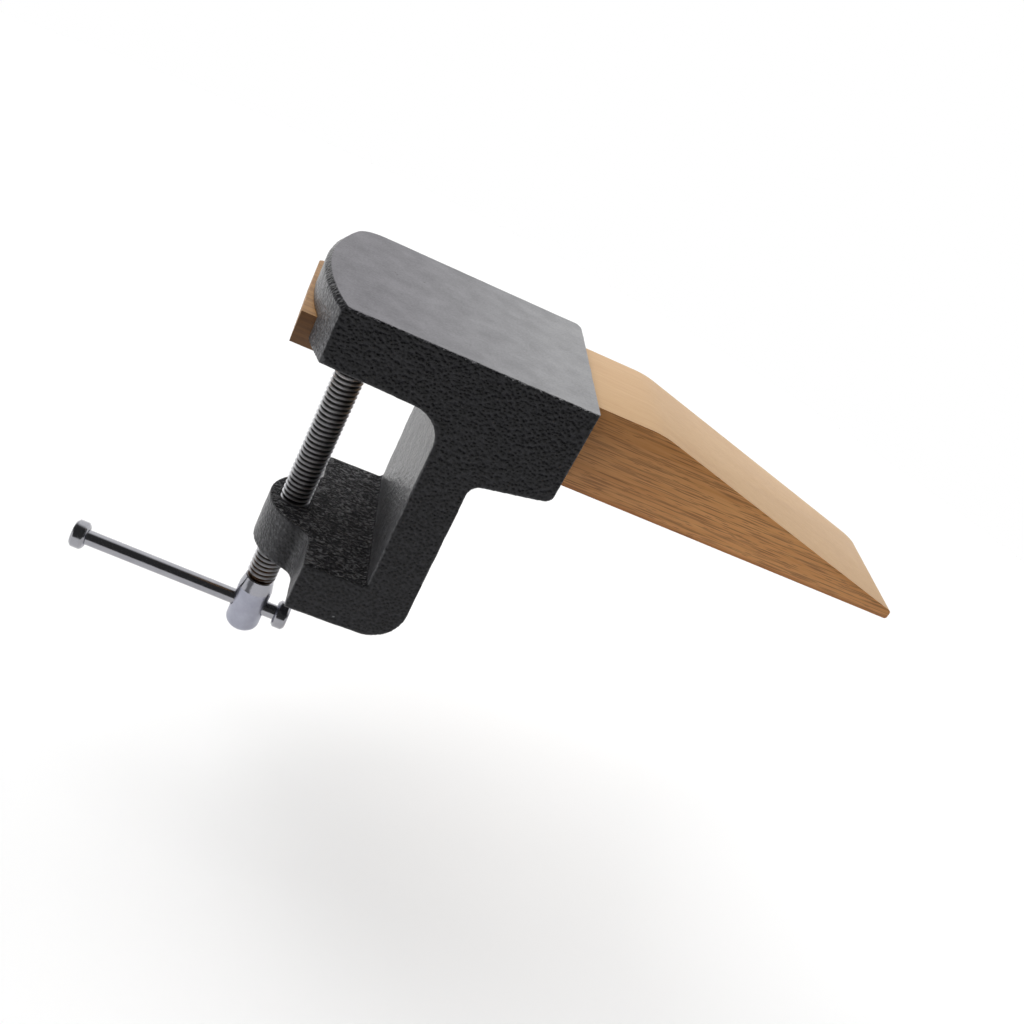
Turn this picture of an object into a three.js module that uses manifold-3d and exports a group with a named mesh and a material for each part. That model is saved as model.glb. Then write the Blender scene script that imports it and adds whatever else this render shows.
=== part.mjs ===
// Jeweller's bench anvil clamp with a wedge-shaped beech bench pin.
// Millimetres, +Z up. The origin is where the clamp screw's axis meets the ground anvil face.
// +X runs from the nose towards the pin's tip, and Y crosses the anvil.

import * as THREE from 'three';
import { mergeVertices } from 'three/addons/utils/BufferGeometryUtils.js';
import Module from 'manifold-3d';

const wasm = await Module();
wasm.setup();

// Gap between pieces that rest on, or run in, each other.
const gap = 0.3;

// Casting: anvil block, spine and lower arm.
const width = 66;
const rightEnd = 60.7;
const noseTip = -18.35;
const noseRadius = 76;
const topChamfer = { run: 1.3, drop: 1.6 };
const farLeftCorner = 10;
const farRightCorner = 4.5;
const arm = { underNose: -16.3, underSpine: -18.2, rootRadius: 9.4 };
const spine = { innerTop: 24.5, innerBottom: 25.6, outerTop: 38.8, outerBottom: 40.1, bottomRadius: 11 };
const lip = { underInner: -33.2, underOuter: -28.9, rootRadius: 3.6, cornerRadius: 3 };
const lowerArm = { top: -75, bottom: -90.6, end: 6.8, innerRadius: 1.5, farCorner: 2 };
const tongue = { centre: 8.3, radius: 16, fillet: 5 };

// Beech pin: a thin tenon through the casting and a thick wedge beyond it.
const pin = {
  width: 42.2,
  tenonTop: -10.5,
  tenonBottom: -19.6,
  leftEnd: -19.4,
  wedgeTop: -2.45,
  wedgeBottom: -28.2,
  bend: 83.1,
  bendRadius: 30,
  tip: 174.5,
  tipThickness: 2.9,
  tipCorner: 5,
};

// Clamp screw, its head and the swivel pad.
const thread = { radius: 4.6, top: -27.4, bottom: -105.5, bore: 4.8 };
const headPart = { radius: 5.3, coneBottom: -110.2, bottom: -125.8, round: 3 };
const button = { radius: 3.3, top: -23, bottom: -25, neck: 2.5, topChamfer: 0.5 };
const pad = { radius: 9, top: -20.9, rim: 2.4, hub: 5.4, bottom: -26.9, mouth: 2.9 };

// Sliding bar through the head.
const bar = { radius: 2.4, depth: -116.8, turn: THREE.MathUtils.degToRad(-3.6), left: -57.25, right: 12.95 };
const cap = { radius: 4.4, length: 4.3, socket: 3.2, round: 0.9 };

const roundSegments = 48;
const arcSegments = 12;

function material(color, roughness, metalness) {
  return new THREE.MeshStandardMaterial({ color, roughness, metalness });
}

const finishes = {
  casting: () => material(0x2a2a2e, 0.6, 0.2),
  beech: () => material(0xc09060, 0.65, 0),
  plated: () => material(0xb8b8bc, 0.25, 1),
  blackened: () => material(0x5a5a5c, 0.4, 1),
};

// A closed geometry as a solid for joining and cutting.
function solid(geometry) {
  const bare = geometry.index ? geometry.toNonIndexed() : geometry.clone();
  bare.deleteAttribute('normal');
  bare.deleteAttribute('uv');
  const merged = mergeVertices(bare, 1e-4);
  return new wasm.Manifold(new wasm.Mesh({
    numProp: 3,
    vertProperties: new Float32Array(merged.attributes.position.array),
    triVerts: new Uint32Array(merged.index.array),
  }));
}

function geometryOf(body) {
  const { vertProperties, triVerts } = body.getMesh();
  const geometry = new THREE.BufferGeometry();
  geometry.setAttribute('position', new THREE.BufferAttribute(vertProperties, 3));
  geometry.setIndex(new THREE.BufferAttribute(triVerts, 1));
  return geometry;
}

// Outline through corners [x, y, radius], each rounded with a true arc.
function roundedShape(corners) {
  const shape = new THREE.Shape();
  corners.forEach(([x, y, radius = 0], i) => {
    const at = new THREE.Vector2(x, y);
    const before = corners.at(i - 1);
    const after = corners[(i + 1) % corners.length];
    const back = new THREE.Vector2(before[0] - x, before[1] - y).normalize();
    const ahead = new THREE.Vector2(after[0] - x, after[1] - y).normalize();
    if (radius === 0) {
      if (i === 0) shape.moveTo(x, y);
      else shape.lineTo(x, y);
      return;
    }
    const half = Math.acos(THREE.MathUtils.clamp(back.dot(ahead), -1, 1)) / 2;
    const trim = radius / Math.tan(half);
    const centre = back.clone().add(ahead).normalize().multiplyScalar(radius / Math.sin(half)).add(at);
    const from = back.multiplyScalar(trim).add(at);
    const to = ahead.multiplyScalar(trim).add(at);
    const start = Math.atan2(from.y - centre.y, from.x - centre.x);
    const end = Math.atan2(to.y - centre.y, to.x - centre.x);
    const sweep = THREE.MathUtils.euclideanModulo(end - start, 2 * Math.PI);
    if (i === 0) shape.moveTo(from.x, from.y);
    else shape.lineTo(from.x, from.y);
    shape.absarc(centre.x, centre.y, radius, start, end, sweep > Math.PI);
  });
  shape.closePath();
  return shape;
}

// Plan outline in X and Y, extruded from one height to another.
function upright(shape, bottom, top, bevel = {}) {
  const options = { depth: top - bottom, bevelEnabled: false, curveSegments: arcSegments, ...bevel };
  return new THREE.ExtrudeGeometry(shape, options).translate(0, 0, bottom);
}

// Side outline in X and Z, extruded across Y and centred on it.
function sideways(shape, across) {
  const options = { depth: across, bevelEnabled: false, curveSegments: arcSegments };
  return new THREE.ExtrudeGeometry(shape, options).rotateX(Math.PI / 2).translate(0, across / 2, 0);
}

// Profile of [radius, z] points turned about the Z axis.
function turned(points) {
  const profile = points.map(([r, z]) => new THREE.Vector2(r, z));
  return new THREE.LatheGeometry(profile, roundSegments).rotateX(Math.PI / 2);
}

function quarter(centreR, centreZ, radius, fromAngle, toAngle, steps = 5) {
  const points = [];
  for (let i = 0; i <= steps; i += 1) {
    const angle = THREE.MathUtils.lerp(fromAngle, toAngle, i / steps);
    points.push([centreR + radius * Math.cos(angle), centreZ + radius * Math.sin(angle)]);
  }
  return points;
}

function clampProfile() {
  const beyond = noseTip - 10;
  return roundedShape([
    [beyond, 0],
    [beyond, arm.underNose],
    [spine.innerTop, arm.underSpine, arm.rootRadius],
    [spine.innerBottom, lowerArm.top, lowerArm.innerRadius],
    [beyond, lowerArm.top],
    [beyond, lowerArm.bottom],
    [spine.outerBottom, lowerArm.bottom, spine.bottomRadius],
    [spine.outerTop, lip.underInner, lip.rootRadius],
    [rightEnd, lip.underOuter, lip.cornerRadius],
    [rightEnd, 0],
  ]);
}

// Plan of the anvil block, chamfered on top along the nose and the far side.
// It runs past the near side and the right end, which stay square.
function chamferedPlan() {
  const half = width / 2;
  const beyond = 12;
  const nearAngle = Math.asin((half + beyond) / noseRadius);
  const cornerY = half - farLeftCorner;
  const cornerAngle = Math.asin(cornerY / (noseRadius - farLeftCorner));
  const cornerX = noseTip + noseRadius - (noseRadius - farLeftCorner) * Math.cos(cornerAngle);
  const shape = new THREE.Shape();
  shape.absarc(noseTip + noseRadius, 0, noseRadius, Math.PI + nearAngle, Math.PI - cornerAngle, true);
  shape.absarc(cornerX, cornerY, farLeftCorner, Math.PI - cornerAngle, Math.PI / 2, true);
  shape.lineTo(rightEnd + beyond, half);
  shape.lineTo(rightEnd + beyond, -half - beyond);
  shape.closePath();
  const bevel = {
    bevelEnabled: true,
    bevelSegments: 1,
    bevelSize: topChamfer.run,
    bevelThickness: topChamfer.drop,
    bevelOffset: -topChamfer.run,
    curveSegments: 32,
  };
  return upright(shape, -52 + topChamfer.drop, -topChamfer.drop, bevel);
}

// Plan of the block's right end: its near corner is square and the far one is rounded.
function rightEndPlan() {
  const half = width / 2;
  const beyond = 5;
  return upright(roundedShape([
    [noseTip - beyond, -half - beyond],
    [rightEnd, -half - beyond],
    [rightEnd, half, farRightCorner],
    [noseTip - beyond, half],
  ]), -52, 1);
}

// Plan of the lower arm: a rounded tongue round the screw on a square-ended arm.
function lowerPlan() {
  const { centre, radius, fillet } = tongue;
  const beyondSide = width / 2 + 5;
  const filletX = lowerArm.end - fillet;
  const filletY = Math.sqrt((radius + fillet) ** 2 - (centre - filletX) ** 2);
  const meet = Math.atan2(filletY, filletX - centre);
  const shape = new THREE.Shape();
  shape.moveTo(rightEnd, -beyondSide);
  shape.lineTo(lowerArm.end, -beyondSide);
  shape.absarc(filletX, -filletY, fillet, 0, Math.PI - meet, false);
  shape.absarc(centre, 0, radius, -meet, meet, true);
  shape.absarc(filletX, filletY, fillet, meet - Math.PI, 0, false);
  const cornerX = lowerArm.end + lowerArm.farCorner;
  shape.absarc(cornerX, width / 2 - lowerArm.farCorner, lowerArm.farCorner, Math.PI, Math.PI / 2, true);
  shape.lineTo(rightEnd, width / 2);
  shape.closePath();
  return upright(shape, lowerArm.bottom - 1, -50);
}

function clampFrame() {
  const plan = solid(chamferedPlan()).intersect(solid(rightEndPlan())).add(solid(lowerPlan()));
  const grooveWidth = pin.width + 2 * gap;
  const grooveHeight = pin.tenonTop - pin.tenonBottom + 2 * gap;
  const groove = new THREE.BoxGeometry(120, grooveWidth, grooveHeight)
    .translate(20, 0, (pin.tenonTop + pin.tenonBottom) / 2);
  const bore = new THREE.CylinderGeometry(thread.bore, thread.bore, 30, roundSegments)
    .rotateX(Math.PI / 2)
    .translate(0, 0, (lowerArm.top + lowerArm.bottom) / 2);
  return solid(sideways(clampProfile(), width)).intersect(plan).subtract(solid(groove)).subtract(solid(bore));
}

function benchPin() {
  const shoulder = rightEnd + gap;
  const profile = roundedShape([
    [pin.leftEnd, pin.tenonTop],
    [pin.leftEnd, pin.tenonBottom],
    [shoulder, pin.tenonBottom],
    [shoulder, pin.wedgeBottom],
    [pin.tip, pin.wedgeBottom, 0.8],
    [pin.tip, pin.wedgeBottom + pin.tipThickness, 1.2],
    [pin.bend, pin.wedgeTop, pin.bendRadius],
    [shoulder, pin.wedgeTop],
    [shoulder, pin.tenonTop],
  ]);
  const half = pin.width / 2;
  const plan = roundedShape([
    [pin.leftEnd - 1, -half - 1],
    [pin.tip, -half - 1],
    [pin.tip, half, pin.tipCorner],
    [pin.leftEnd - 1, half],
  ]);
  return solid(sideways(profile, pin.width)).intersect(solid(upright(plan, pin.wedgeBottom - 1, 1)));
}

function clampScrew() {
  const { radius, coneBottom, bottom, round } = headPart;
  const body = solid(turned([
    [0, bottom],
    ...quarter(radius - round, bottom + round, round, -Math.PI / 2, 0),
    [radius, coneBottom],
    [thread.radius, thread.bottom],
    [thread.radius, thread.top - 1],
    [thread.radius - 1, thread.top],
    [button.neck, thread.top],
    [button.neck, button.bottom],
    [button.radius, button.bottom],
    [button.radius, button.top - button.topChamfer],
    [button.radius - button.topChamfer, button.top],
    [0, button.top],
  ]));
  const hole = new THREE.CylinderGeometry(bar.radius + gap, bar.radius + gap, 4 * radius, roundSegments)
    .rotateZ(Math.PI / 2)
    .rotateZ(bar.turn)
    .translate(0, 0, bar.depth);
  return body.subtract(solid(hole));
}

function swivelPad() {
  return turned([
    [0, button.top + gap],
    [button.radius + gap, button.top + gap],
    [button.radius + gap, button.bottom - gap],
    [pad.mouth, button.bottom - gap],
    [pad.mouth, pad.bottom],
    [pad.hub, pad.bottom],
    [pad.radius, pad.top - pad.rim],
    [pad.radius, pad.top - gap],
    [pad.radius - gap, pad.top],
    [0, pad.top],
  ]);
}

function tommyBar() {
  const wall = cap.length - cap.socket + gap;
  const length = bar.right - bar.left - 2 * wall;
  return new THREE.CylinderGeometry(bar.radius, bar.radius, length, roundSegments)
    .rotateZ(Math.PI / 2)
    .translate((bar.left + bar.right) / 2, 0, 0);
}

// A cap along Z with its outer face at 0 and its socket opening downwards.
function barCap() {
  return turned([
    [0, -cap.length + cap.socket],
    [bar.radius + gap, -cap.length + cap.socket],
    [bar.radius + gap, -cap.length],
    [cap.radius - cap.round / 2, -cap.length],
    [cap.radius, -cap.length + cap.round / 2],
    ...quarter(cap.radius - cap.round, -cap.round, cap.round, 0, Math.PI / 2),
    [0, 0],
  ]);
}

function piece(name, geometry, finish) {
  const mesh = new THREE.Mesh(geometry, finish);
  mesh.name = name;
  geometry.computeVertexNormals();
  return mesh;
}

function barAssembly() {
  const group = new THREE.Group();
  group.position.z = bar.depth;
  group.rotation.z = bar.turn;
  group.add(piece('tommy_bar', tommyBar(), finishes.plated()));
  const ends = [['bar_cap_left', bar.left, -1], ['bar_cap_right', bar.right, 1]];
  for (const [name, x, side] of ends) {
    const mesh = piece(name, barCap(), finishes.plated());
    mesh.position.x = x;
    mesh.rotation.y = side * Math.PI / 2;
    group.add(mesh);
  }
  return group;
}

const benchAnvil = new THREE.Group();
benchAnvil.add(
  piece('clamp_frame', geometryOf(clampFrame()), finishes.casting()),
  piece('bench_pin', geometryOf(benchPin()), finishes.beech()),
  piece('clamp_screw', geometryOf(clampScrew()), finishes.blackened()),
  piece('swivel_pad', swivelPad(), finishes.plated()),
  barAssembly(),
);

export default benchAnvil;
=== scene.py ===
from math import cos, pi, radians, sin, tau

import bmesh
import bpy
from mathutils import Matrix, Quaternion, Vector, noise


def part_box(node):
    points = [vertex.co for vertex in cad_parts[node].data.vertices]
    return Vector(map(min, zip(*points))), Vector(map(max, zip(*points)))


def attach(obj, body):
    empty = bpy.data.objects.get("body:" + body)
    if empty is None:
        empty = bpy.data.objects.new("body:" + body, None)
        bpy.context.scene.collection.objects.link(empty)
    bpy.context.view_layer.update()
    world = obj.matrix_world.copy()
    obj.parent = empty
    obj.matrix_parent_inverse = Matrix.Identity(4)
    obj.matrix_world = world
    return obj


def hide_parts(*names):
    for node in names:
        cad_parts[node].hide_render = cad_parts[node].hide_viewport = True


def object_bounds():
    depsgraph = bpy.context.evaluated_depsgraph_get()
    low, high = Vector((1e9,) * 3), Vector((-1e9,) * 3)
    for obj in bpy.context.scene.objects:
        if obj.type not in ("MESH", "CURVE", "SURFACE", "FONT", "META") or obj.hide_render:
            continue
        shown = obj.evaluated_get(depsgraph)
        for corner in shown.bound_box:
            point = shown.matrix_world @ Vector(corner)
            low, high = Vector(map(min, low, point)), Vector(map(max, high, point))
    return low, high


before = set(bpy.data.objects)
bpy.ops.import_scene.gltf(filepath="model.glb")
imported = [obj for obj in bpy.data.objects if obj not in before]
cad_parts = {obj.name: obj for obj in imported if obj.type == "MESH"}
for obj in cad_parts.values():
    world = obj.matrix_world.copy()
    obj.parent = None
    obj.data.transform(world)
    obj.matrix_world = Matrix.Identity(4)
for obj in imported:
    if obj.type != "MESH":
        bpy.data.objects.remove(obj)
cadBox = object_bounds()
mm = 0.001
print("frame loaded")


class Wire:  # a socket that adds and multiplies like a number
    def __init__(self, finish, socket):
        self.finish = finish
        self.socket = socket

    def __add__(self, other):
        return self.finish.maths("ADD", self, other)

    def __sub__(self, other):
        return self.finish.maths("SUBTRACT", self, other)

    def __rsub__(self, other):
        return self.finish.maths("SUBTRACT", other, self)

    def __mul__(self, other):
        return self.finish.maths("MULTIPLY", self, other)

    __radd__ = __add__
    __rmul__ = __mul__


class Nodes:  # a node tree under construction
    def __init__(self, tree):
        self.tree = tree
        self.tree.nodes.clear()

    def node(self, kind, settings=None, sockets=None):
        made = self.tree.nodes.new("ShaderNode" + kind)
        for name, value in (settings or {}).items():
            if name == "stops":
                self.setStops(made.color_ramp, value)
            else:
                setattr(made, name, value)
        for name, value in (sockets or {}).items():
            if isinstance(value, Wire):
                self.tree.links.new(value.socket, made.inputs[name])
            else:
                made.inputs[name].default_value = value
        return made

    def setStops(self, ramp, stops):
        while len(ramp.elements) < len(stops):
            ramp.elements.new(1)
        for element, (position, colour) in zip(ramp.elements, stops):
            element.position = position
            element.color = (*colour, 1)

    def output(self, kind, settings, sockets, result=0):
        return Wire(self, self.node(kind, settings, sockets).outputs[result])

    def maths(self, operation, a, b=0.0):
        return self.output("Math", {"operation": operation}, {0: a, 1: b})

    def larger(self, a, b):
        return self.maths("MAXIMUM", a, b)

    def size(self, value):
        return self.maths("ABSOLUTE", value)

    def ease(self, value, low, high, fromValue=0.0, toValue=1.0):
        settings = {"interpolation_type": "SMOOTHSTEP"}
        sockets = {"Value": value, "From Min": low, "From Max": high,
                   "To Min": fromValue, "To Max": toValue}
        return self.output("MapRange", settings, sockets)

    def blend(self, amount, a, b, mode="MIX"):
        a, b = (x if isinstance(x, Wire) else (*x, 1) for x in (a, b))
        settings = {"data_type": "RGBA", "blend_type": mode, "clamp_factor": True}
        return self.output("Mix", settings, {0: amount, 6: a, 7: b}, 2)

    def ramp(self, value, stops):
        return self.output("ValToRGB", {"stops": stops}, {"Fac": value})

    def stretched(self, scale, turn=(0, 0, 0), shift=(0, 0, 0)):
        sockets = {"Vector": self.place, "Scale": scale, "Rotation": turn, "Location": shift}
        return self.output("Mapping", {}, sockets)

    def axes(self, vector):
        parts = self.node("SeparateXYZ", {}, {"Vector": vector})
        return [Wire(self, parts.outputs[i]) for i in range(3)]

    def clouds(self, size, detail=2.0, rough=0.5, warp=0.0, at=None):
        sockets = {"Vector": at or self.place, "Scale": 1 / size, "Detail": detail,
                   "Roughness": rough, "Distortion": warp}
        return self.output("TexNoise", {}, sockets)

    def cells(self, size, feature="F1", random=1.0, at=None):
        sockets = {"Vector": at or self.place, "Scale": 1 / size, "Randomness": random}
        return self.output("TexVoronoi", {"feature": feature}, sockets)

    def bump(self, height, depth, under=None):
        sockets = {"Height": height, "Distance": depth, "Strength": 1.0}
        if under:
            sockets["Normal"] = under
        return self.output("Bump", {}, sockets)


class Finish(Nodes):  # a material under construction
    def __init__(self, name, **constants):
        self.material = bpy.data.materials.new(name)
        self.material.use_nodes = True
        super().__init__(self.material.node_tree)
        self.shader = self.node("BsdfPrincipled", {}, constants)
        self.node("OutputMaterial", {}, {"Surface": Wire(self, self.shader.outputs[0])})
        coordinates = self.node("TexCoord")
        self.place = Wire(self, coordinates.outputs["Object"])
        self.facing = Wire(self, coordinates.outputs["Normal"])

    def feed(self, **wires):
        for name, wire in wires.items():
            socket = self.shader.inputs[name.replace("_", " ")]
            self.tree.links.new(wire.socket, socket)
        return self.material


def cadCopy(node):
    shape = bmesh.new()
    shape.from_mesh(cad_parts[node].data)
    bmesh.ops.remove_doubles(shape, verts=shape.verts, dist=0.002 * mm)
    return shape


def asPiece(shape, name):
    mesh = bpy.data.meshes.new(name)
    shape.to_mesh(mesh)
    shape.free()
    piece = bpy.data.objects.new(name, mesh)
    bpy.context.scene.collection.objects.link(piece)
    return piece


def modify(piece, kind, **settings):
    made = piece.modifiers.new(kind.lower(), kind)
    for name, value in settings.items():
        setattr(made, name, value)


def applyModifiers(piece):
    graph = bpy.context.evaluated_depsgraph_get()
    mesh = bpy.data.meshes.new_from_object(piece.evaluated_get(graph))
    piece.modifiers.clear()
    piece.data = mesh


def shadeSmooth(piece, sharpFrom=40):
    piece.data.shade_smooth()
    piece.data.set_sharp_from_angle(angle=radians(sharpFrom))


def turnedShape(profile, steps=96):
    shape = bmesh.new()
    points = [shape.verts.new((r * mm, 0, z * mm)) for r, z in profile]
    edges = [shape.edges.new(pair) for pair in zip(points, points[1:])]
    bmesh.ops.spin(shape, geom=points + edges, cent=(0, 0, 0), axis=(0, 0, 1),
                   angle=tau, steps=steps, use_merge=True)
    bmesh.ops.remove_doubles(shape, verts=shape.verts, dist=0.001 * mm)
    bmesh.ops.recalc_face_normals(shape, faces=shape.faces)
    return shape


def install(piece, body, slot, material, *nodes):
    piece.data.materials.clear()
    piece.data.materials.append(material)
    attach(piece, body)
    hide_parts(*nodes)
    print("made", piece.name)


casting = {
    "stock": 0.6 * mm,  # cast above the anvil face and ground off again
    "gridDepth": 8,
    "gridFill": 0.6,
    "rounding": 3,
    "lumpSize": 6 * mm,
    "lumpHeight": 0.12 * mm,
    "pebbleSize": 1.9 * mm,
    "pebbleHeight": 0.05 * mm,
    "rim": (-0.24 * mm, -0.12 * mm),  # bare steel shows down to here round the ground face
    "worn": (1.3 * mm, 1.5 * mm, 3.2 * mm),  # from, to and how ragged the paint's edge is
    "noseToHeel": (-12 * mm, 66 * mm),
    "noseSteel": ((0.134, 0.13, 0.142), (0.216, 0.21, 0.227)),
    "heelSteel": ((0.238, 0.238, 0.245), (0.336, 0.336, 0.344)),
    "pitColour": (0.05, 0.045, 0.04),
    "pits": [(0.5, 6.0, 0.30), (1.2, 5.0, 0.26), (9.2, 8.3, 0.28), (3.3, -8.4, 0.2)],  # x, y, radius in mm
    "pitSpacing": 7.1 * mm,
    "satinDepth": 0.012 * mm,
    "armLevel": (-50 * mm, -60 * mm),  # the paint is coarser below this
    "chamferLevel": (-14 * mm, -12 * mm),
    "creaseSize": 0.9 * mm,
    "gritSize": 0.45 * mm,
    "paintDepth": 0.36 * mm,
    "paintColours": ((0.002, 0.002, 0.0026), (0.026, 0.0255, 0.03)),
    # lighter edge colour: wear together with a painted edge highlight
    "rubbedAndHighlightColour": (0.11, 0.11, 0.115),
    # painted sheen: a lighter colour on the faces that look the nose's way
    "paintedSheenColour": (0.17, 0.17, 0.178),
    "paintedSheenLevel": (-75 * mm, -30 * mm),
    "pinholeSpacing": 1.7 * mm,
    # painted shade in the pinholes
    "pinholeShadeColour": (0.01, 0.01, 0.012),
    "wrinkleColour": (0.2, 0.2, 0.204),
    "chip": (20.8, -88.1, 0.8),  # x, z and radius in mm of a knock in the near side's paint
    "chipColour": (0.3, 0.3, 0.31),
}


def castingShape():
    shape = cadCopy("clamp_frame")
    top = [f for f in shape.faces if f.normal.z > 0.99 and f.calc_center_median().z > -0.1 * mm]
    raised = bmesh.ops.extrude_face_region(shape, geom=top)["geom"]
    bmesh.ops.translate(shape, verts=[v for v in raised if isinstance(v, bmesh.types.BMVert)],
                        vec=(0, 0, casting["stock"]))
    piece = asPiece(shape, "casting_body")
    modify(piece, "REMESH", mode="SHARP", octree_depth=casting["gridDepth"],
           scale=casting["gridFill"], sharpness=1.0, use_remove_disconnected=False)
    modify(piece, "SMOOTH", factor=0.5, iterations=casting["rounding"])
    applyModifiers(piece)
    return piece


def castSurface(point):
    lump = noise.noise(point / casting["lumpSize"]) * casting["lumpHeight"]
    pebble = noise.noise(point / casting["pebbleSize"] + Vector((9, 4, 7))) * casting["pebbleHeight"]
    return lump + pebble


def castingBody():
    piece = castingShape()
    shape = bmesh.new()
    shape.from_mesh(piece.data)
    shape.normal_update()
    for vertex in shape.verts:
        vertex.co += vertex.normal * castSurface(vertex.co)
    cut = bmesh.ops.bisect_plane(shape, geom=shape.verts[:] + shape.edges[:] + shape.faces[:],
                                 plane_co=(0, 0, 0), plane_no=(0, 0, 1), clear_outer=True)
    rim = [e for e in cut["geom_cut"] if isinstance(e, bmesh.types.BMEdge)]
    face = bmesh.ops.contextual_create(shape, geom=rim)["faces"]
    bmesh.ops.triangulate(shape, faces=face)
    for f in shape.faces:
        f.smooth = True
    for edge in rim:
        edge.smooth = False
    print("casting faces", len(shape.faces))
    shape.to_mesh(piece.data)
    shape.free()
    return piece


def spot(finish, centre, radius, squash):  # 1 inside a small round mark
    gap = finish.output("VectorMath", {"operation": "SUBTRACT"}, {0: finish.place, 1: centre})
    gap = finish.output("VectorMath", {"operation": "MULTIPLY"}, {0: gap, 1: squash})
    far = finish.output("VectorMath", {"operation": "LENGTH"}, {0: gap}, "Value")
    return finish.ease(far, radius * 0.5, radius, 1, 0)


def castingPaint():
    paint = Finish("casting_paint", **{"IOR": 1.5, "Specular IOR Level": 0.22})
    x, _, z = paint.axes(paint.place)
    nx, _, nz = paint.axes(paint.facing)
    flat = paint.ease(z, -0.03 * mm, -0.01 * mm)
    ragged = paint.clouds(1.3 * mm, 3, 0.65)
    wornFrom, wornTo, raggedBy = casting["worn"]
    worn = paint.ease(z + ragged * raggedBy, wornFrom, wornTo)
    worn = worn * paint.ease(nz, 0.2, 0.4, 0.75, 0)
    ground = paint.larger(paint.larger(flat, paint.ease(z, *casting["rim"])), worn)

    # ground steel: fine lines and long soft smears along the casting, and a few pits
    lines = paint.clouds(1.0, 3, 0.6, at=paint.stretched((90, 2600, 90)))
    smears = paint.clouds(1.0, 3, 0.6, 0.6, at=paint.stretched((30, 130, 30), (0, 0, 0.12)))
    cloud = paint.clouds(9 * mm, 4, 0.6)
    speckle = paint.clouds(0.7 * mm, 2, 0.6)
    pits = paint.ease(paint.cells(casting["pitSpacing"]), 0.02, 0.035, 1, 0) * 0.6
    for px, py, radius in casting["pits"]:
        pits = paint.larger(pits, spot(paint, (px * mm, py * mm, 0), radius * mm, (0.6, 1, 1)))
    tone = lines * 0.15 + smears * 0.15 + cloud * 0.4 + speckle * 0.3
    nose = paint.ramp(tone, list(zip((0.4, 0.6), casting["noseSteel"])))
    heel = paint.ramp(tone, list(zip((0.4, 0.6), casting["heelSteel"])))
    steel = paint.blend(paint.ease(x, *casting["noseToHeel"]), nose, heel)
    steel = paint.blend(pits * flat * 0.75, steel, casting["pitColour"])

    # hammertone paint: round pebbles between creases, wrinkled on the lower arm
    coarse = paint.ease(nz, 0.5, 0.8) * paint.ease(z, *casting["armLevel"])
    creases = paint.cells(casting["creaseSize"], "SMOOTH_F1")
    grit = paint.clouds(casting["gritSize"], 2, 0.6)
    wrinkles = paint.clouds(1.0, 3, 0.65, 1.2, at=paint.stretched((560, 1050, 950)))
    relief = grit * 0.25 - creases * 0.8 + wrinkles * coarse * 9
    coat = paint.ramp(creases + grit * 0.5, list(zip((0.45, 1.05), casting["paintColours"])))

    # lighter at the edges, partly wear and partly a painted highlight, but less along the chamfer
    edges = Wire(paint, paint.node("NewGeometry").outputs["Pointiness"])
    chamfer = paint.ease(nz, 0.3, 0.5) * paint.ease(z, *casting["chamferLevel"])
    rubbedAndHighlit = paint.ease(edges + ragged * 0.06, 0.55, 0.62) * (1 - chamfer * 0.8)
    coat = paint.blend(rubbedAndHighlit * 0.8, coat, casting["rubbedAndHighlightColour"])

    # painted sheen, speckled, on the faces that look the nose's way, lighter towards the top, and pinholes
    # there darkened with painted shade
    paintedSheen = paint.ease(paint.size(nz) + nx, -0.3, -0.7)
    paintedSheen = paintedSheen * paint.ease(z, *casting["paintedSheenLevel"], 0.55, 1)
    specks = paint.ease(ragged, 0.5, 0.62)
    pinholeShade = paint.ease(paint.cells(casting["pinholeSpacing"]), 0.12, 0.24, 0.8, 0)
    # painted sheen: the faces towards the nose are painted lighter
    coat = paint.blend(paintedSheen * (0.35 + specks * 0.45), coat, casting["paintedSheenColour"])
    # painted shade: the pinholes are painted darker
    coat = paint.blend(paintedSheen * pinholeShade, coat, casting["pinholeShadeColour"])
    coat = paint.blend(coarse * paint.ease(wrinkles, 0.48, 0.62) * 0.85, coat, casting["wrinkleColour"])
    chipX, chipZ, chipRadius = casting["chip"]
    chip = spot(paint, (chipX * mm, cadBox[0].y, chipZ * mm), chipRadius * mm, (1, 0.3, 1.8))
    coat = paint.blend(chip * paint.ease(ragged, 0.4, 0.5), coat, casting["chipColour"])

    hammered = paint.bump(relief, casting["paintDepth"])
    satin = paint.bump(lines - pits * 0.6, casting["satinDepth"])
    normal = paint.output("Mix", {"data_type": "VECTOR"}, {0: flat, 4: hammered, 5: satin}, 1)
    return paint.feed(
        Base_Color=paint.blend(ground, coat, steel),
        Metallic=ground,
        Roughness=0.24 + ground * 0.16 + grit * 0.1 + coarse * 0.5,
        Normal=normal,
    )


pin = {
    "edge": 0.5 * mm,
    "edgeSegments": 3,
    "tenonCorner": 1.8 * mm,
    "tenonSegments": 6,
    "coplanar": radians(1),
    "corner": radians(25),
    "topColours": ((0.50, 0.302, 0.145), (0.57, 0.374, 0.196)),
    "sideColours": ((0.66, 0.285, 0.078), (0.84, 0.41, 0.145)),
    "rootColour": (0.26, 0.10, 0.03),  # the sides are browner towards the casting
    "rootFade": (55 * mm, 130 * mm),
    "footColour": (0.42, 0.145, 0.035),  # along the sides' lower edge
    "footHeights": (0.2 * mm, 1.6 * mm),
    "fleckColour": (0.17, 0.06, 0.018),
    "poreColour": (0.17, 0.08, 0.035),
    "stainAndShade": (-14 * mm, 34 * mm),  # the tenon darkens between these: handling stain together with painted shade from the casting
    "stainAndShadeTop": (0.36, 0.2, 0.082),
    "stainAndShadeSide": (0.17, 0.075, 0.022),
    "stainAndShadeLines": (0.08, 0.033, 0.014),
    "figureDepth": 0.03 * mm,
}


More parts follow.
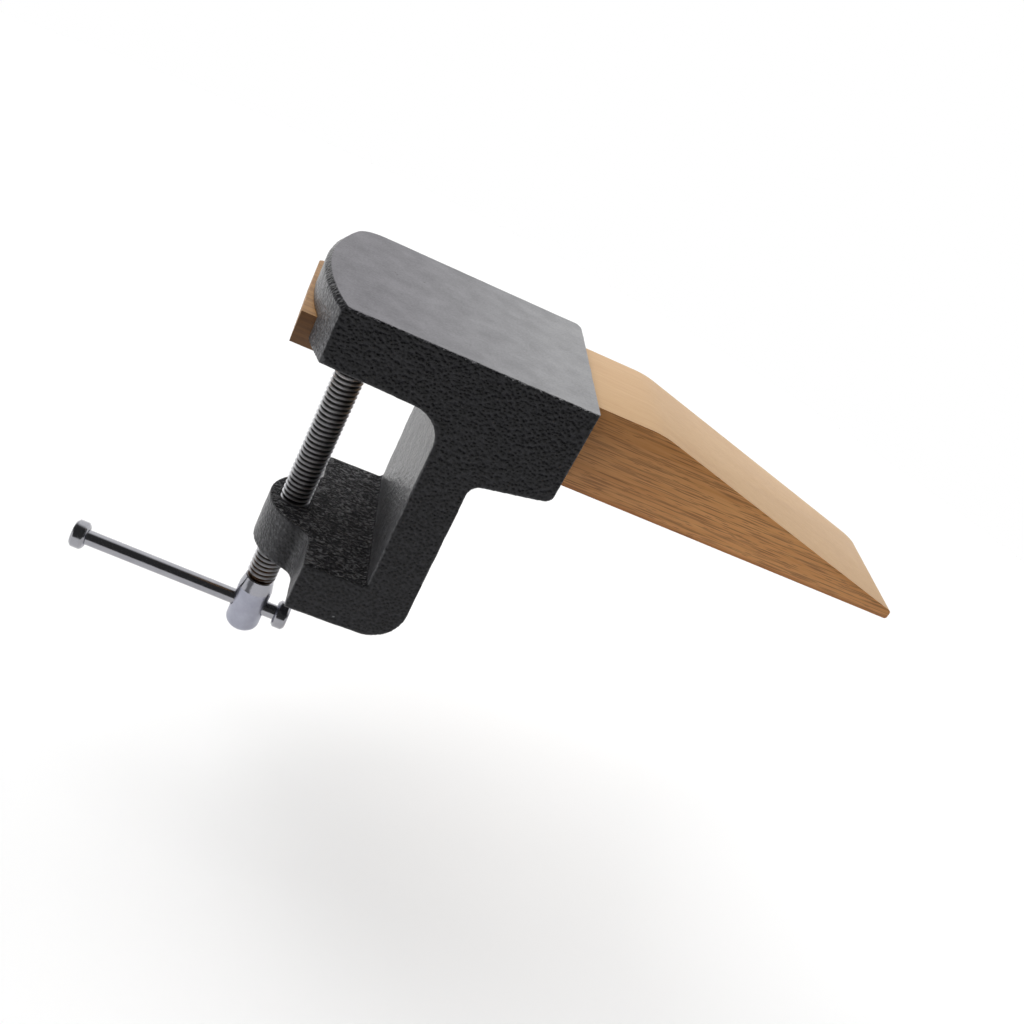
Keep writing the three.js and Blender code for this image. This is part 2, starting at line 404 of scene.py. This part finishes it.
def pinBody():
    shape = cadCopy("bench_pin")
    bmesh.ops.dissolve_limit(shape, angle_limit=pin["coplanar"], verts=shape.verts, edges=shape.edges)
    low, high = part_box("bench_pin")
    tenonCorner = [e for e in shape.edges if abs(e.verts[0].co.z - e.verts[1].co.z) > mm
                   and all(v.co.x < low.x + mm and v.co.y > high.y - mm for v in e.verts)]
    bmesh.ops.bevel(shape, geom=tenonCorner, offset=pin["tenonCorner"], offset_type="OFFSET",
                    affect="EDGES", segments=pin["tenonSegments"], profile=0.5, material=-1)
    corners = [e for e in shape.edges if e.is_manifold and e.calc_face_angle() > pin["corner"]]
    bmesh.ops.bevel(shape, geom=corners, offset=pin["edge"], offset_type="OFFSET", affect="EDGES",
                    segments=pin["edgeSegments"], profile=0.5, material=-1, clamp_overlap=True)
    piece = asPiece(shape, "pin_body")
    shadeSmooth(piece, 35)
    return piece


def beech():
    wood = Finish("beech_wood", **{"IOR": 1.5, "Specular IOR Level": 0.4})
    x, _, z = wood.axes(wood.place)
    nx, ny, _ = wood.axes(wood.facing)
    across = wood.ease(wood.size(ny), 0.5, 0.85)
    ends = wood.ease(wood.size(nx), 0.6, 0.85)

    # the figure runs along the pin: broad bands, fine threads and short dark flecks
    grain = wood.clouds(1.0, 3, 0.6, 0.3, at=wood.stretched((14, 300, 300)))
    bands = wood.clouds(1.0, 2, 0.5, 0.4, at=wood.stretched((6, 55, 90)))
    threads = wood.clouds(1.0, 3, 0.6, 0.2, at=wood.stretched((70, 1300, 1300)))
    shortFlecks = wood.ease(wood.cells(1.0, at=wood.stretched((170, 1900, 1900))), 0.1, 0.3, 1, 0)
    longFlecks = wood.cells(1.0, at=wood.stretched((60, 1700, 1700), (0, 0.02, 0)))
    longFlecks = wood.ease(longFlecks, 0.15, 0.4, 1, 0)
    hairs = wood.clouds(1.0, 1, 0.5, 0.1, at=wood.stretched((60, 2300, 2300)))
    hairs = wood.ease(hairs, 0.54, 0.66)
    flecks = wood.larger(wood.larger(longFlecks, shortFlecks), hairs * 0.7)
    pores = wood.ease(wood.clouds(0.42 * mm, 1), 0.6, 0.72)

    tone = grain * 0.3 + bands * 0.35 + threads * 0.35
    top = wood.ramp(tone, list(zip((0.38, 0.62), pin["topColours"])))
    side = wood.ramp(tone, list(zip((0.38, 0.62), pin["sideColours"])))
    side = wood.blend(wood.ease(x, *pin["rootFade"], 0.35, 0), side, pin["rootColour"])
    footFrom, footTo = (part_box("bench_pin")[0].z + height for height in pin["footHeights"])
    side = wood.blend(wood.ease(z, footFrom, footTo, 1, 0) * 0.8, side, pin["footColour"])
    colour = wood.blend(across, top, side)
    colour = wood.blend(flecks * (0.08 + across * 0.55), colour, pin["fleckColour"])
    colour = wood.blend(ends * pores * 0.5, colour, pin["poreColour"])
    # darker tenon near the casting: handling stain and painted shade
    stainedAndShaded = wood.blend(across, pin["stainAndShadeTop"], pin["stainAndShadeSide"])
    stainedAndShaded = wood.blend(wood.ease(threads, 0.45, 0.6) * 0.35, stainedAndShaded, pin["stainAndShadeLines"])
    colour = wood.blend(wood.ease(x, *pin["stainAndShade"], 1, 0), colour, stainedAndShaded)
    return wood.feed(
        Base_Color=colour,
        Roughness=0.46 + grain * 0.14,
        Normal=wood.bump(grain * 0.4 + threads * 0.3 - flecks * 0.5, pin["figureDepth"]),
    )


screw = {  # lengths in mm
    "pitch": 1.5875,
    "crest": 4.6,
    "root": 3.66,
    "top": -27.4,
    "bottom": -105.0,
    "stepsPerTurn": 40,
    "flat": 0.1,  # half the crest's width, as a part of the pitch
    "rounding": 0.08,
    "rootWidth": 0.12,
    "neck": 3.3,
    "coneTop": -106.0,
    "coneBottom": -110.2,
    "headRadius": 5.3,
    "headBottom": -125.8,
    "footRadius": 3,
    "footSteps": 16,
    "headBevel": 0.4,
    "crossHole": 2.7,
    "buttonTop": -23,
    "buttonBottom": -25,
    "buttonRadius": 3.3,
    "buttonNeck": 2.5,
    "buttonChamfer": 0.5,
    "bareColours": ((0.54, 0.54, 0.555), (0.66, 0.66, 0.68)),
    "rustColours": ((0.055, 0.053, 0.05), (0.12, 0.068, 0.037)),
    "rustLevel": (-104, -90),
    "satinColours": ((0.33, 0.337, 0.4), (0.4, 0.407, 0.475)),
    "coneColour": (0.34, 0.34, 0.372),
    "paintedReflectionColour": (0.03, 0.03, 0.034),
    "paintedReflectionAt": 2.3,  # how far left of the middle of the cone the painted dark reflection lies
}


def screwThread():
    pitch = screw["pitch"]
    turns = round((screw["top"] - screw["bottom"]) / pitch) + 3
    start = screw["bottom"] - 1.5 * pitch
    steps = screw["stepsPerTurn"]
    root, crest = screw["root"], screw["crest"]
    shoulder = crest - screw["rounding"]
    ridge = [(root, 0), (root, screw["rootWidth"]), (shoulder, 0.5 - screw["flat"]), (crest, 0.5),
             (shoulder, 0.5 + screw["flat"]), (root, 1 - screw["rootWidth"]), (root, 1)]
    shape = bmesh.new()
    points = [shape.verts.new((r * mm, 0, (start + part * pitch) * mm)) for r, part in ridge]
    edges = [shape.edges.new(pair) for pair in zip(points, points[1:])]
    bmesh.ops.spin(shape, geom=points + edges, cent=(0, 0, 0), axis=(0, 0, 1), angle=tau * turns,
                   steps=steps * turns, dvec=(0, 0, pitch / steps * mm))
    bmesh.ops.remove_doubles(shape, verts=shape.verts, dist=0.002 * mm)
    for level, side in ((screw["top"], 1), (screw["bottom"], -1)):
        cut = bmesh.ops.bisect_plane(shape, geom=shape.verts[:] + shape.edges[:] + shape.faces[:],
                                     plane_co=(0, 0, level * mm), plane_no=(0, 0, side), clear_outer=True)
        rim = [e for e in cut["geom_cut"] if isinstance(e, bmesh.types.BMEdge)]
        bmesh.ops.contextual_create(shape, geom=rim)
    bmesh.ops.recalc_face_normals(shape, faces=shape.faces)
    piece = asPiece(shape, "screw_thread")
    shadeSmooth(piece, 30)
    return piece


def screwHead():
    radius, bottom, foot = screw["headRadius"], screw["headBottom"], screw["footRadius"]
    turns = [pi / 2 * i / screw["footSteps"] for i in range(screw["footSteps"] + 1)]
    rounded = [(radius - foot + foot * cos(turn), bottom + foot - foot * sin(turn)) for turn in turns]
    piece = asPiece(turnedShape([
        (0, screw["bottom"] + 2),
        (screw["neck"], screw["bottom"] + 2),
        (screw["neck"], screw["coneTop"]),
        (screw["crest"] - 0.35, screw["coneTop"]),
        (screw["crest"] - 0.1, screw["coneTop"] - 0.25),
        (radius, screw["coneBottom"]),
        *rounded,
        (0, bottom),
    ]), "screw_head")
    drill = bpy.data.objects.new("drill", drillMesh())
    bpy.context.scene.collection.objects.link(drill)
    modify(piece, "BOOLEAN", object=drill, operation="DIFFERENCE", solver="EXACT")
    modify(piece, "BEVEL", width=screw["headBevel"] * mm, segments=3, limit_method="ANGLE",
           angle_limit=radians(50))
    applyModifiers(piece)
    bpy.data.objects.remove(drill)
    shadeSmooth(piece, 9)
    return piece


def drillMesh():
    radius = screw["crossHole"] * mm
    shape = bmesh.new()
    bmesh.ops.create_cone(shape, cap_ends=True, segments=64, radius1=radius, radius2=radius,
                          depth=40 * mm)
    turn = barTurn().to_matrix() @ Quaternion((0, 1, 0), pi / 2).to_matrix()
    bmesh.ops.rotate(shape, verts=shape.verts, matrix=turn)
    bmesh.ops.translate(shape, verts=shape.verts, vec=(0, 0, rod["height"] * mm))
    mesh = bpy.data.meshes.new("drill")
    shape.to_mesh(mesh)
    shape.free()
    return mesh


def screwButton():
    radius, top, bottom = screw["buttonRadius"], screw["buttonTop"], screw["buttonBottom"]
    piece = asPiece(turnedShape([
        (0, top),
        (radius - screw["buttonChamfer"], top),
        (radius, top - screw["buttonChamfer"]),
        (radius, bottom),
        (screw["buttonNeck"], bottom),
        (screw["buttonNeck"], screw["top"] - 1),
        (0, screw["top"] - 1),
    ]), "screw_button")
    shadeSmooth(piece)
    return piece


def screwSteel():
    steel = Finish("screw_steel", **{"Metallic": 1.0})
    x, y, z = steel.axes(steel.place)
    radius = steel.maths("SQRT", x * x + y * y)
    root = steel.ease(radius, (screw["root"] + 0.1) * mm, (screw["crest"] - 0.12) * mm, 1, 0)
    rustFrom, rustTo = screw["rustLevel"]
    low = steel.ease(z, rustFrom * mm, rustTo * mm, 1, 0)
    onThread = steel.ease(z, (screw["coneTop"] - 0.2) * mm, screw["coneTop"] * mm)
    onBody = steel.ease(z, (screw["coneBottom"] - 0.15) * mm, screw["coneBottom"] * mm, 1, 0)

    # grime and a little rust in the thread, satin plating on the head, and a painted dark reflection on
    # the cone
    blotch = steel.clouds(2.4 * mm, 3, 0.6)
    grime = steel.maths("MINIMUM", root * onThread * (0.75 + blotch * 0.5), 1.0)
    rust = steel.ramp(low * blotch * 1.7, list(zip((0.35, 0.8), screw["rustColours"])))
    bare = steel.ramp(steel.clouds(3 * mm, 3, 0.6), list(zip((0.3, 0.7), screw["bareColours"])))
    satin = steel.ramp(steel.clouds(4 * mm, 4, 0.65), list(zip((0.3, 0.7), screw["satinColours"])))
    # a dark patch on the cone's near left: a painted reflection of dark surroundings, not dirt
    aside = steel.size(x + screw["paintedReflectionAt"] * mm) + blotch * (1.4 * mm)
    paintedReflection = steel.ease(aside, 1.1 * mm, 1.8 * mm, 1, 0) * steel.ease(y, 0, -2 * mm)
    cone = steel.blend(paintedReflection * 0.8, screw["coneColour"], screw["paintedReflectionColour"])
    plated = steel.blend(onBody, cone, satin)
    colour = steel.blend(grime, steel.blend(onThread, plated, bare), rust)
    lines = steel.clouds(1.0, 2, 0.6, at=steel.stretched((180, 180, 4200)))
    return steel.feed(
        Base_Color=colour,
        Roughness=0.14 + onThread * 0.14 + grime * 0.3 + onBody * 0.22,
        Normal=steel.bump(lines, 0.006 * mm),
    )


pad = {  # lengths in mm
    "radius": 9,
    "top": -20.9,
    "rim": 2.4,
    "hub": 5.4,
    "bottom": -26.9,
    "mouth": 2.9,
    "play": 0.3,  # round the button
    "bevel": 0.35,
}


def padBody():
    socket = screw["buttonRadius"] + pad["play"]
    roof, floor = screw["buttonTop"] + pad["play"], screw["buttonBottom"] - pad["play"]
    piece = asPiece(turnedShape([
        (0, roof),
        (socket, roof),
        (socket, floor),
        (pad["mouth"], floor),
        (pad["mouth"], pad["bottom"]),
        (pad["hub"], pad["bottom"]),
        (pad["radius"], pad["top"] - pad["rim"]),
        (pad["radius"], pad["top"]),
        (0, pad["top"]),
    ]), "pad_body")
    modify(piece, "BEVEL", width=pad["bevel"] * mm, segments=3, limit_method="ANGLE",
           angle_limit=radians(25))
    applyModifiers(piece)
    shadeSmooth(piece, 35)
    return piece


rod = {  # lengths in mm
    "radius": 2.4,
    "height": -116.8,
    "turn": -3.6,
    "left": -57.25,
    "right": 12.95,
    "capRadius": 4.4,
    "capLength": 4.3,
    "capBevel": 0.8,
    "sinkRadius": 3.3,
    "sinkDepth": 0.7,
    "dimple": 0.3,  # in the middle of a cap's outer face
    "wall": 1.1,
    "plating": ((0.30, 0.30, 0.325), (0.36, 0.36, 0.385)),
}


def barTurn():
    return Quaternion((0, 0, 1), radians(rod["turn"]))


def layAlongBar(shape, fromX, side):
    bmesh.ops.rotate(shape, verts=shape.verts, matrix=Quaternion((0, 1, 0), side * pi / 2).to_matrix())
    bmesh.ops.translate(shape, verts=shape.verts, vec=(fromX * mm, 0, 0))
    bmesh.ops.rotate(shape, verts=shape.verts, matrix=barTurn().to_matrix())
    bmesh.ops.translate(shape, verts=shape.verts, vec=(0, 0, rod["height"] * mm))


def barRod():
    length = rod["right"] - rod["left"] - 2 * rod["wall"]
    shape = turnedShape([(0, 0), (rod["radius"], 0), (rod["radius"], length), (0, length)], 64)
    layAlongBar(shape, rod["left"] + rod["wall"], 1)
    piece = asPiece(shape, "bar_rod")
    shadeSmooth(piece, 35)
    return piece


def barCap(name, fromX, side):
    radius, length, bevel = rod["capRadius"], rod["capLength"], rod["capBevel"]
    sink, dimple = rod["sinkRadius"], rod["dimple"]
    bore = rod["radius"] + 0.08
    shape = turnedShape([
        (0, -dimple),
        (radius - 2.3, -dimple),
        (radius - 1.9, 0),
        (radius - bevel, 0),
        (radius, -bevel),
        (radius, bevel - length),
        (radius - bevel, -length),
        (sink, -length),
        (sink - 0.5, rod["sinkDepth"] - length),
        (sink - 0.5, rod["sinkDepth"] + 0.6 - length),
        (bore, rod["sinkDepth"] + 0.8 - length),
        (bore, -rod["wall"]),
        (0, -rod["wall"]),
    ], 64)
    layAlongBar(shape, fromX, side)
    piece = asPiece(shape, name)
    modify(piece, "BEVEL", width=0.12 * mm, segments=2, limit_method="ANGLE", angle_limit=radians(25))
    applyModifiers(piece)
    shadeSmooth(piece, 20)
    return piece


def platedSteel(name, rough):
    plate = Finish(name, **{"Metallic": 1.0})
    haze = plate.clouds(5 * mm, 3, 0.6)
    scratch = plate.clouds(1.0, 3, 0.7, at=plate.stretched((240, 1800, 1800)))
    return plate.feed(
        Base_Color=plate.ramp(haze, list(zip((0.3, 0.7), rod["plating"]))),
        Roughness=rough + haze * 0.08,
        Normal=plate.bump(scratch, 0.004 * mm),
    )


install(castingBody(), "frame", "casting", castingPaint(), "clamp_frame")
install(pinBody(), "pin", "beech", beech(), "bench_pin")
steel = screwSteel()
for part in (screwThread(), screwHead(), screwButton()):
    install(part, "screw", "screw_steel", steel, "clamp_screw")
install(padBody(), "pad", "pad_steel", platedSteel("pad_steel", 0.3), "swivel_pad")
plate = platedSteel("plated_bar", 0.15)
install(barRod(), "bar", "plated_bar", plate, "tommy_bar")
install(barCap("cap_left", rod["left"], -1), "bar", "plated_bar", plate, "bar_cap_left")
install(barCap("cap_right", rod["right"], 1), "bar", "plated_bar", plate, "bar_cap_right")


studio = {
    "floorSize": 0.8,
    "floorDrop": 50 * mm,  # room for the screw and its bar to come down
    "above": 0.25,  # how much of the sky's glow comes from each side
    "behind": 0.9,
    "right": 0.3,
    "start": 0.25,
    "full": 0.7,
    "dark": 0.055,
    "bright": 1.25,
    "paper": (0.94, 0.94, 0.94, 1),
    "lamps": [  # name, direction it comes from, strength and how wide it looks in degrees
        ("key", (-0.45, 0.1, 0.89), 2.0, 65),
        ("side", (-0.7, 0.65, 0.3), 1.4, 80),
    ],
    "lens": 41,
    "cameraAt": (-0.02366, -0.3072, 0.1037),
    "cameraAim": (0.2394, 0.8655, -0.4400),
    "cameraRoll": radians(28.8),
}


def makeFloor():
    shape = bmesh.new()
    bmesh.ops.create_circle(shape, cap_ends=True, segments=96, radius=studio["floorSize"])
    bmesh.ops.translate(shape, verts=shape.verts, vec=(0, 0, cadBox[0].z - studio["floorDrop"]))
    floor = asPiece(shape, "floor")
    paper = Finish("floor_paper", **{"Base Color": studio["paper"], "Roughness": 0.9,
                                     "Specular IOR Level": 0.2})
    paper.feed(Normal=paper.bump(paper.clouds(0.8 * mm), 0.01 * mm))
    floor.data.materials.append(paper.material)


def makeWorld():
    world = bpy.data.worlds.new("studio")
    world.use_nodes = True
    sky = Nodes(world.node_tree)
    x, y, z = sky.axes(sky.output("TexCoord", {}, {}, "Generated"))
    toBright = z * studio["above"] + y * studio["behind"] + x * studio["right"]
    glow = sky.ease(toBright, studio["start"], studio["full"], studio["dark"], studio["bright"])
    seen = sky.output("LightPath", {}, {}, "Is Camera Ray")
    strength = glow * (1 - seen) + seen
    background = sky.node("Background", {}, {"Color": (1, 1, 1, 1), "Strength": strength})
    sky.node("OutputWorld", {}, {"Surface": Wire(sky, background.outputs[0])})
    bpy.context.scene.world = world


def makeLights():
    for name, direction, strength, width in studio["lamps"]:
        data = bpy.data.lights.new(name, "SUN")
        data.energy = strength
        data.angle = radians(width)
        lamp = bpy.data.objects.new(name, data)
        lamp.rotation_mode = "QUATERNION"
        lamp.rotation_quaternion = (-Vector(direction)).to_track_quat("-Z", "Y")
        lamp.visible_camera = False
        lamp.visible_glossy = False
        bpy.context.scene.collection.objects.link(lamp)


def makeCamera():
    data = bpy.data.cameras.new("camera")
    data.lens = studio["lens"]
    camera = bpy.data.objects.new("camera", data)
    camera.location = studio["cameraAt"]
    aim = Vector(studio["cameraAim"]).to_track_quat("-Z", "Y")
    camera.rotation_mode = "QUATERNION"
    camera.rotation_quaternion = aim @ Quaternion((0, 0, 1), studio["cameraRoll"])
    bpy.context.scene.collection.objects.link(camera)
    bpy.context.scene.camera = camera


bpy.context.scene.view_settings.view_transform = "Standard"
makeFloor()
makeWorld()
makeLights()
makeCamera()
print("studio set")
